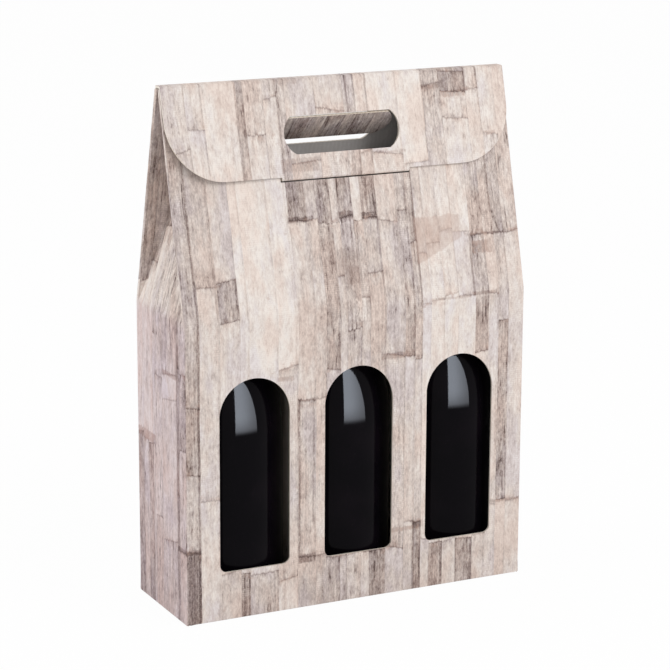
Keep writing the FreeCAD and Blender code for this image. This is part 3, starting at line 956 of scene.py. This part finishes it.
# %% Folding tree
def folding_tree():
    tree = bpy.data.node_groups.new("fold along path", "GeometryNodeTree")
    face = tree.interface
    face.new_socket("Sheet", in_out="INPUT", socket_type="NodeSocketGeometry")
    face.new_socket("Path", in_out="INPUT", socket_type="NodeSocketObject")
    face.new_socket("Straight Axis", in_out="INPUT", socket_type="NodeSocketVector")
    for layer_name in ("Outer Finish", "Inner Finish", "Edge Finish"):
        face.new_socket(layer_name, in_out="INPUT", socket_type="NodeSocketMaterial")
    face.new_socket("Folded", in_out="OUTPUT", socket_type="NodeSocketGeometry")
    given = node(tree, "NodeGroupInput")
    flat = node(tree, "ShaderNodeSeparateXYZ", {}, {0: node(tree, "GeometryNodeInputPosition")})
    path = node(tree, "GeometryNodeObjectInfo", {}, {0: given.output("Path")}, out="Geometry")
    sample = node(
        tree, "GeometryNodeSampleCurve", {"mode": "LENGTH"},
        {"Curves": path, "Length": flat.output("Y")}, out="Position",
    )
    axis = given.output("Straight Axis")
    outward = node(
        tree, "ShaderNodeVectorMath", {"operation": "CROSS_PRODUCT"},
        {0: sample.output("Tangent"), 1: axis},
    )
    raised = scaled(tree, outward, flat.output("Z"))
    sideways = scaled(tree, axis, flat)
    place = vector_sum(tree, sample, vector_sum(tree, raised, sideways))
    shape = node(tree, "GeometryNodeSetPosition", {}, {0: given, "Position": place})
    shape = node(tree, "GeometryNodeRealizeInstances", {}, {0: shape})
    ply = node(tree, "GeometryNodeInputNamedAttribute", {"data_type": "INT"}, {"Name": "ply"})
    for number, layer_name in enumerate(("Outer Finish", "Inner Finish", "Edge Finish")):
        chosen = node(
            tree, "FunctionNodeCompare", {"data_type": "INT", "operation": "EQUAL"},
            {2: ply, 3: number},
        )
        shape = node(
            tree, "GeometryNodeSetMaterial", {},
            {0: shape, "Selection": chosen, "Material": given.output(layer_name)},
        )
    node(tree, "NodeGroupOutput", {}, {0: shape})
    return tree


folding = folding_tree()


def tree_input(modifier, name, value):
    """Sets an input of a tree by the socket's identifier."""
    for item in modifier.node_group.interface.items_tree:
        if item.name == name and item.in_out == "INPUT":
            modifier[item.identifier] = value
            return
    raise KeyError(name)


def fillet_path(corners, radius, steps=6):
    """Points of a path with rounded corners, and the length that each bend saves."""
    points, saved = [Vector(corners[0])], []
    for before, corner, after in zip(corners, corners[1:], corners[2:]):
        before, corner, after = Vector(before), Vector(corner), Vector(after)
        into, out = (corner - before).normalized(), (after - corner).normalized()
        turn = into.angle(out)
        reach = radius * math.tan(turn / 2)
        start = corner - into * reach
        centre = start + (out - into * into.dot(out)).normalized() * radius
        spoke = start - centre
        axis = into.cross(out).normalized()
        for step in range(steps + 1):
            points.append(centre + Matrix.Rotation(turn * step / steps, 3, axis) @ spoke)
        saved.append((reach, 2 * reach - radius * turn))
    points.append(Vector(corners[-1]))
    return points, saved


def path_object(name, points):
    curve = bpy.data.curves.new(name, "CURVE")
    curve.dimensions = "3D"
    spline = curve.splines.new("POLY")
    spline.points.add(len(points) - 1)
    for item, point in zip(spline.points, points):
        item.co = (*(point * MM), 1.0)
    item = bpy.data.objects.new(name, curve)
    bpy.context.scene.collection.objects.link(item)
    return item


def flat_plate(loops, board, cuts, grid=None, sheet_at=None):
    """A flat board with thickness, x across and y along the sheet, cut into rows at the bends."""
    points, triangles = fill(loops, grid)
    bm = bmesh.new()
    outer = [bm.verts.new((x, y, 0)) for x, y in points]
    inner = [bm.verts.new((x, y, -board)) for x, y in points]
    edges = {}
    for face in triangles:
        bm.faces.new([outer[i] for i in face]).material_index = 0
        bm.faces.new([inner[i] for i in reversed(face)]).material_index = 1
        for a, b in zip(face, face[1:] + face[:1]):
            edges[(a, b)] = True
    for a, b in edges:
        if (b, a) not in edges:
            rim = bm.faces.new([outer[b], outer[a], inner[a], inner[b]])
            rim.material_index = 2
    for cut in cuts:
        bmesh.ops.bisect_plane(
            bm, geom=bm.verts[:] + bm.edges[:] + bm.faces[:], dist=1e-4,
            plane_co=(0, cut, 0), plane_no=(0, 1, 0),
        )
    bmesh.ops.triangulate(bm, faces=bm.faces[:])
    layer = bm.loops.layers.uv.new("sheet")
    ply = bm.faces.layers.int.new("ply")
    for face in bm.faces:
        face[ply] = face.material_index
        face.material_index = 0
        for loop in face.loops:
            x, y = loop.vert.co.x, loop.vert.co.y
            u, v = sheet_at(x, y) if sheet_at else (x, y)
            loop[layer].uv = (u * MM, v * MM)
    bmesh.ops.scale(bm, vec=(MM, MM, MM), verts=bm.verts)
    return bm


def fold(name, bm, path, axis, finishes):
    """Folds a flat plate along a path and returns it as a plain piece."""
    piece = finish_mesh(name, bm, [])
    guide = path_object(name + "_path", path)
    bend = piece.modifiers.new("fold", "NODES")
    bend.node_group = folding
    tree_input(bend, "Path", guide)
    tree_input(bend, "Straight Axis", axis)
    for label, finish in zip(("Outer Finish", "Inner Finish", "Edge Finish"), finishes):
        tree_input(bend, label, finish)
    bpy.context.view_layer.update()
    made_plain(piece)
    bpy.data.objects.remove(guide)
    piece.data.shade_smooth()
    piece.data.set_sharp_from_angle(angle=math.radians(35))
    steady = piece.modifiers.new("panel shading", "WEIGHTED_NORMAL")
    steady.keep_sharp = True
    return made_plain(piece)


# %% [markdown]
# The lid's path starts at the crease behind the ridge, turns down the front slope and turns in
# again at the lower edge, where the tab goes through the slit.

# %% Lid
BEND = 1.6
HINGE_Y = RIDGE_HALF - 1.1
LID_LENGTH, STRAIGHT, TAB_HALF, TAB_DROP, TAB_DEPTH = 65.0, 26.0, 47.5, 2.3, 12.0
ridge_corner = on_slope(0, RIDGE_U, LID_OUT)
lid_low = on_slope(0, RIDGE_U - LID_LENGTH - TAB_DROP, LID_OUT)
tab_end = on_slope(0, RIDGE_U - LID_LENGTH - TAB_DROP, LID_OUT - TAB_DEPTH)
lid_path, (ridge_bend, tab_bend) = fillet_path(
    [(0, HINGE_Y, HEIGHT), ridge_corner, lid_low, tab_end], BEND
)
strip = HINGE_Y - ridge_corner.y
flap_zero = strip - ridge_bend[1]
tab_zero = flap_zero + LID_LENGTH + TAB_DROP - tab_bend[1]


def down_lid(distance):
    """Length along the lid's path at this distance below the ridge edge."""
    return flap_zero + distance


corner = LID_LENGTH - STRAIGHT
cut = corner * (1 - math.sqrt(0.5))
half_lid = (
    [(HALF_W, 0.0), (HALF_W, down_lid(STRAIGHT))]
    + arc((HALF_W, down_lid(STRAIGHT)), (HALF_W - cut, down_lid(LID_LENGTH) - cut),
          (HALF_W - corner, down_lid(LID_LENGTH)), 18)[1:]
    + [(HALF_W - corner, down_lid(LID_LENGTH)), (TAB_HALF, down_lid(LID_LENGTH))]
    + [(TAB_HALF, tab_zero + TAB_DEPTH - 3.0), (TAB_HALF - 3.0, tab_zero + TAB_DEPTH)]
)
lid_outline = half_lid + [(-x, y) for x, y in reversed(half_lid)]


def bend_rows(start, bend, steps=6):
    """Sheet lengths of the rows of a bend that begins at its corner minus its reach."""
    reach, _ = bend
    length = 2 * reach - bend[1]
    return [start - reach + length * step / steps for step in range(steps + 1)]


lid_slot = [(x, down_lid(RIDGE_U - u)) for x, u in hand_slot(0.0)]
rows = bend_rows(strip, ridge_bend) + bend_rows(down_lid(LID_LENGTH + TAB_DROP), tab_bend)
lid_flat = flat_plate(
    [lid_outline, lid_slot], BOARD, rows, grid=9,
    sheet_at=lambda x, y: (x, flap_zero - y),
)
lid_piece = fold(
    "lid_sheet", lid_flat, lid_path, (1.0, 0.0, 0.0), (lid_print, liner, cut_edge)
)
OUT = (on_slope(0, 0, 1) - on_slope(0, 0, 0)).normalized()
LIFT_LEFT, LIFT_CURVE, LIFT_RIGHT = 7.5, 1.3, 1.2


def share_between(value, start, end):
    return min(max((value - start) / (end - start), 0.0), 1.0)


# The lower corners of the flap stand off the slope a little, the left one more.
for vert in lid_piece.data.vertices:
    x, y, z = vert.co / MM
    down = (HEIGHT - z) / COS
    left = share_between(-x, 62.0, 128.0) * share_between(down, 12.0, 65.0)
    right = share_between(x, 70.0, 128.0) * share_between(down, 20.0, 65.0)
    vert.co += OUT * (LIFT_LEFT * left ** LIFT_CURVE + LIFT_RIGHT * right) * MM
print("lid:", len(lid_piece.data.polygons), "faces")

# %% [markdown]
# The tongue is what was cut out of the hand slot. Its print is streaky and worn, and darkened with
# painted shade, and it swings in about the slot's top edge when a hand pushes through.

# %% Tongue
SWING = math.radians(61.0)
pivot = on_slope(0, RIDGE_U - 25.0, GAP)
tongue_outline = [(x, RIDGE_U - u) for x, u in hand_slot(-SLOT_ROOM)]
tongue_flat = flat_plate(
    [tongue_outline], BOARD, [25.3 + 4 * step for step in range(1, 7)], grid=7,
    sheet_at=lambda x, y: (x, -y),
)
tongue_path = [on_slope(0, RIDGE_U, LID_OUT), on_slope(0, RIDGE_U - 60.0, LID_OUT)]
tongue_piece = fold(
    "tongue_sheet", tongue_flat, tongue_path, (1.0, 0.0, 0.0), (tongue_print_with_painted_shade, liner, cut_edge)
)
swing = (
    Matrix.Translation(pivot * MM) @ Matrix.Rotation(SWING, 4, "X")
    @ Matrix.Translation(-pivot * MM)
)
tongue_piece.data.transform(swing)
print("tongue:", len(tongue_piece.data.polygons), "faces")

# %% [markdown]
# The divider is a plain board folded to a U. Its walls stand on both sides of the middle bottle.

# %% Divider
low_x, high_x = BOTTLE_SHIFT - WALL - BOARD / 2, BOTTLE_SHIFT + WALL + BOARD / 2
back_y, front_y = HALF_D - BOARD - GAP, -HALF_D + BOARD + 1.2
divider_path, (bend_a, bend_b) = fillet_path(
    [(high_x, front_y, 0), (high_x, back_y, 0), (low_x, back_y, 0), (low_x, front_y, 0)], BEND
)
wall_run, web_run = back_y - front_y, high_x - low_x
divider_length = 2 * wall_run + web_run - bend_a[1] - bend_b[1]
divider_low, divider_top, tip = BOARD, SHOULDER - 15.6, 6.0
tip_cut = tip * (1 - math.sqrt(0.5))
divider_outline = [(divider_low, 0.0), (divider_low, divider_length)]
divider_outline += arc(
    (divider_top - tip, divider_length), (divider_top - tip_cut, divider_length - tip_cut),
    (divider_top, divider_length - tip), 6,
) + [(divider_top, divider_length - tip)]
divider_outline += arc(
    (divider_top, tip), (divider_top - tip_cut, tip_cut), (divider_top - tip, 0.0), 6
) + [(divider_top - tip, 0.0)]
divider_rows = bend_rows(wall_run, bend_a)
divider_rows += bend_rows(wall_run - bend_a[1] + web_run, bend_b)
divider_flat = flat_plate([divider_outline], BOARD, divider_rows, grid=16,
                          sheet_at=lambda x, y: (y, x))
divider_piece = fold(
    "divider_sheet", divider_flat, divider_path, (0.0, 0.0, 1.0),
    (divider_board, divider_board, cut_edge),
)
print("divider:", len(divider_piece.data.polygons), "faces")

# %% [markdown]
# ## Bottles and capsules
# A bottle is a turned form: one profile swept round an axis. The tree makes a grid, wraps its
# rows round the axis and gives each row the radius and height of a sampled profile curve.

# %% Turning tree
def turning_tree():
    tree = bpy.data.node_groups.new("turned form", "GeometryNodeTree")
    face = tree.interface
    face.new_socket("Blank", in_out="INPUT", socket_type="NodeSocketGeometry")
    face.new_socket("Profile", in_out="INPUT", socket_type="NodeSocketObject")
    sides = face.new_socket("Sides", in_out="INPUT", socket_type="NodeSocketInt")
    rings = face.new_socket("Rings", in_out="INPUT", socket_type="NodeSocketInt")
    sides.default_value, rings.default_value = 64, 40
    face.new_socket("Centre", in_out="INPUT", socket_type="NodeSocketVector")
    face.new_socket("Finish", in_out="INPUT", socket_type="NodeSocketMaterial")
    face.new_socket("Turned", in_out="OUTPUT", socket_type="NodeSocketGeometry")
    given = node(tree, "NodeGroupInput")
    grid = node(
        tree, "GeometryNodeMeshGrid", {},
        {"Size X": 1.0, "Size Y": 1.0, "Vertices X": given.output("Sides"),
         "Vertices Y": given.output("Rings")},
    )
    flat = node(tree, "ShaderNodeSeparateXYZ", {}, {0: node(tree, "GeometryNodeInputPosition")})
    angle = (flat + 0.5) * (2 * math.pi)
    path = node(tree, "GeometryNodeObjectInfo", {}, {0: given.output("Profile")}, out="Geometry")
    sample = node(
        tree, "GeometryNodeSampleCurve", {"mode": "FACTOR"},
        {"Curves": path, "Factor": flat.output("Y") + 0.5}, out="Position",
    )
    ring = node(tree, "ShaderNodeSeparateXYZ", {}, {0: sample})
    turned = vector(
        tree, ring * angle.maths("COSINE", angle), ring * angle.maths("SINE", angle),
        ring.output("Z"),
    )
    place = vector_sum(tree, turned, given.output("Centre"))
    shape = node(tree, "GeometryNodeSetPosition", {}, {0: grid, "Position": place})
    shape = node(tree, "GeometryNodeMergeByDistance", {}, {0: shape, "Distance": 1e-5})
    shape = node(tree, "GeometryNodeRealizeInstances", {}, {0: shape})
    shape = node(
        tree, "GeometryNodeSetMaterial", {}, {0: shape, "Material": given.output("Finish")}
    )
    node(tree, "NodeGroupOutput", {}, {0: shape})
    return tree


turning = turning_tree()


def turned_piece(name, profile, centre, rings, finish, sides=97):
    """Turns a profile of (radius, height) points, from the bottom of the axis to the top."""
    piece = finish_mesh(name, bmesh.new(), [])
    guide = path_object(name + "_profile", [Vector((r, 0, z)) for r, z in profile])
    turn = piece.modifiers.new("turn", "NODES")
    turn.node_group = turning
    for label, value in (
        ("Profile", guide), ("Sides", sides), ("Rings", rings), ("Finish", finish),
        ("Centre", tuple(Vector(centre) * MM)),
    ):
        tree_input(turn, label, value)
    bpy.context.view_layer.update()
    made_plain(piece)
    bpy.data.objects.remove(guide)
    bm = bmesh.new()
    bm.from_mesh(piece.data)
    bmesh.ops.recalc_face_normals(bm, faces=bm.faces[:])
    bm.to_mesh(piece.data)
    bm.free()
    piece.data.shade_smooth()
    piece.data.set_sharp_from_angle(angle=math.radians(50))
    return piece


# %% Bottles
BOTTLE_R, NECK_R, BOTTLE_H, STRAIGHT_H, SHOULDER_H = 38.0, 14.0, 282.0, 119.0, 108.0


def bottle_profile():
    """Radius and height from the centre of the base up to the centre of the mouth."""
    middle = ((BOTTLE_R + NECK_R) / 2, STRAIGHT_H + SHOULDER_H / 2)
    run, climb = (BOTTLE_R - NECK_R) / 2, SHOULDER_H / 2
    bend = (run ** 2 + climb ** 2) / (2 * run)
    share = math.asin(climb / bend) / 2
    bulge, part = bend * (1 - math.cos(share)), bend * math.sin(share)
    top = STRAIGHT_H + SHOULDER_H
    base, cut = 4.0, 4.0 * (1 - math.sqrt(0.5))
    points = [(0.0, 2.5), (BOTTLE_R * 0.35, 2.2), (BOTTLE_R * 0.6, 0.8)]
    points += arc((BOTTLE_R - base, 0), (BOTTLE_R - cut, cut), (BOTTLE_R, base), 8)
    points += [(BOTTLE_R, base + (STRAIGHT_H - base) * step / 8) for step in range(8)]
    points += arc((BOTTLE_R, STRAIGHT_H), (BOTTLE_R - bulge, STRAIGHT_H + part), middle, 20)
    points += arc(middle, (NECK_R + bulge, top - part), (NECK_R, top), 20)
    points += [(NECK_R, top + (BOTTLE_H - top - 1.0) * step / 6) for step in range(6)]
    points += [(NECK_R, BOTTLE_H - 1.0), (NECK_R - 1.0, BOTTLE_H), (NECK_R * 0.5, BOTTLE_H)]
    return points + [(0.0, BOTTLE_H)]


bottle_pieces, capsule_pieces = {}, {}
for index, name in enumerate(("left", "middle", "right")):
    centre = (BOTTLE_SHIFT + (index - 1) * BOTTLE_PITCH, 0.0, BOARD if index == 1 else FOLD)
    bottle_pieces[name] = turned_piece(
        "bottle_" + name + "_glass", bottle_profile(), centre, 260, glass
    )
    inner, outer = 14.2, 14.9
    low, high = BOTTLE_H - 54.0, BOTTLE_H
    capsule_profile = [
        (inner, low + 0.4), (inner, high), (inner * 0.5, high), (0.0, high),
        (0.0, high + 0.7), (6.0, high + 0.7), (6.4, high + 0.45), (6.8, high + 0.7),
        (outer - 1.6, high + 0.7), (outer - 0.9, high + 0.55), (outer - 0.3, high + 0.1),
        (outer, high - 0.6), (outer, high - 6.0), (outer - 0.25, high - 6.6), (outer, high - 7.2),
        (outer, high - 20.0), (outer, low + 0.3), (outer - 0.3, low), (inner + 0.1, low),
        (inner, low + 0.4),
    ]
    capsule_pieces[name] = turned_piece(
        "capsule_" + name + "_sleeve", capsule_profile, centre, 240, sleeve, 49
    )
print("bottles and capsules made")

# %% [markdown]
# ## Studio
# A pale floor carries the object's shadow. To the camera it is mostly plain white, as in a
# cut-out photograph.

# %% Floor
def white_floor():
    material, tree = new_finish("white studio floor")
    path = node(tree, "ShaderNodeLightPath", {}, {}, out="Is Camera Ray")
    seen = path.most(path.output("Is Glossy Ray")).most(path.output("Is Transmission Ray"))
    place = object_place(tree)
    cloud = noise(tree, place, 2.0, 0.5, 3.0)
    matt = node(tree, "ShaderNodeBsdfDiffuse", {}, {
        0: mix(tree, cloud, paint(240, 240, 240), paint(246, 246, 246))
    })
    plain = node(tree, "ShaderNodeEmission", {}, {0: (1.0, 1.0, 1.0, 1.0), "Strength": 1.0})
    surface(tree, node(tree, "ShaderNodeMixShader", {}, {0: seen * 0.97, 1: matt, 2: plain}))
    return material


bm = bmesh.new()
bmesh.ops.create_circle(bm, cap_ends=True, segments=96, radius=5.0)
for vert in bm.verts:
    vert.co.z = -0.0002
floor = finish_mesh("studio_floor", bm, [white_floor()])


# %% Sky and lamps
world = bpy.data.worlds.new("studio")
bpy.context.scene.world = world
world.use_nodes = True
world.node_tree.nodes.clear()
rays = node(world.node_tree, "ShaderNodeLightPath", {}, {}, out="Is Camera Ray")
seen = rays.most(rays.output("Is Glossy Ray")).most(rays.output("Is Transmission Ray"))
SKY = 0.56
dome = node(world.node_tree, "ShaderNodeBackground", {}, {
    0: (1.0, 1.0, 1.0, 1.0), "Strength": seen * (1.0 - SKY) + SKY,
})
node(world.node_tree, "ShaderNodeOutputWorld", {}, {0: dome})


def soft_lamp(name, place, target, size, power):
    """An area lamp that faces a target, in metres and watts."""
    lamp = bpy.data.lights.new(name, "AREA")
    lamp.shape, lamp.size, lamp.energy = "SQUARE", size, power
    item = bpy.data.objects.new(name, lamp)
    item.location = place
    item.rotation_euler = (Vector(target) - Vector(place)).to_track_quat("-Z", "Y").to_euler()
    bpy.context.scene.collection.objects.link(item)


soft_lamp("key_lamp", (1.2, -2.0, 1.9), (0, 0, 0.2), 1.6, 34.0)
soft_lamp("fill_lamp", (-2.4, 0.5, 1.2), (0, 0, 0.2), 1.4, 21.0)
print("studio made")

# %% [markdown]
# The bottles mirror one large soft box, low and to the right, whose far side curves down. It
# lights only the glass, so that it can be bright there without bleaching the board. It is far
# off, so each bottle shows it at the same place. The floor is kept out of mirror images.

# %% Soft box that the glass mirrors
BOX_AWAY, BOX_HEIGHT = 3.0, 0.14
box_from, box_to = math.radians(-8.0), math.radians(39.0)
box_low, box_high = math.tan(math.radians(-13.0)), math.tan(math.radians(23.0))


def glow():
    """Bright cloth, fading towards its lower and its far edge."""
    material, tree = new_finish("soft box cloth")
    place = object_place(tree)
    spot = node(tree, "ShaderNodeSeparateXYZ", {}, {0: place})
    fade = spot.rise(2.6, 0.0) * spot.output("Z").rise(-0.75, 0.1)
    colour = mix(tree, fade, (0.30, 0.31, 0.34, 1.0), (0.98, 1.06, 1.20, 1.0))
    soft_foot = spot.output("Z").rise(-0.57, -0.36)
    colour = mix(tree, soft_foot, (0.02, 0.02, 0.02, 1.0), colour)
    surface(tree, node(tree, "ShaderNodeEmission", {}, {0: colour, 1: 54.0}))
    return material


bm = bmesh.new()
columns = []
for share in np.linspace(0, 1, 33):
    angle = box_from + (box_to - box_from) * share
    top = box_low + (box_high - box_low) * (1 - share ** 2.2) ** 0.55
    columns.append([
        bm.verts.new((BOX_AWAY * math.sin(angle), -BOX_AWAY * math.cos(angle),
                      BOX_HEIGHT + BOX_AWAY * slope)) for slope in (box_low, top + 1e-4)
    ])
for first, second in zip(columns, columns[1:]):
    bm.faces.new([first[0], first[1], second[1], second[0]])
soft_box = finish_mesh("soft_box", bm, [glow()])
soft_box.visible_camera = soft_box.visible_diffuse = soft_box.visible_shadow = False
floor.visible_glossy = False
mirrors = bpy.data.collections.new("mirrors the soft box")
for piece in bottle_pieces.values():
    mirrors.objects.link(piece)
soft_box.light_linking.receiver_collection = mirrors
print("soft box set")

# %% [markdown]
# ## Hand over to the frame
# Each piece is attached to the body it moves with, and the CAD node that it stands for is hidden.

# %% Frame calls
for piece, body, hidden, finish in (
    (carton_piece, "carton", "carton_body", "printed_board"),
    (lid_piece, "lid", "lid_flap", "printed_board"),
    (tongue_piece, "tongue", "handle_tongue", "printed_board"),
    (divider_piece, "carton", "divider_insert", "plain_board"),
):
    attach(piece, body)
    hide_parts(hidden)
for name in bottle_pieces:
    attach(bottle_pieces[name], "carton")
    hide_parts("bottle_" + name)
    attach(capsule_pieces[name], "carton")
    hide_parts("capsule_" + name)
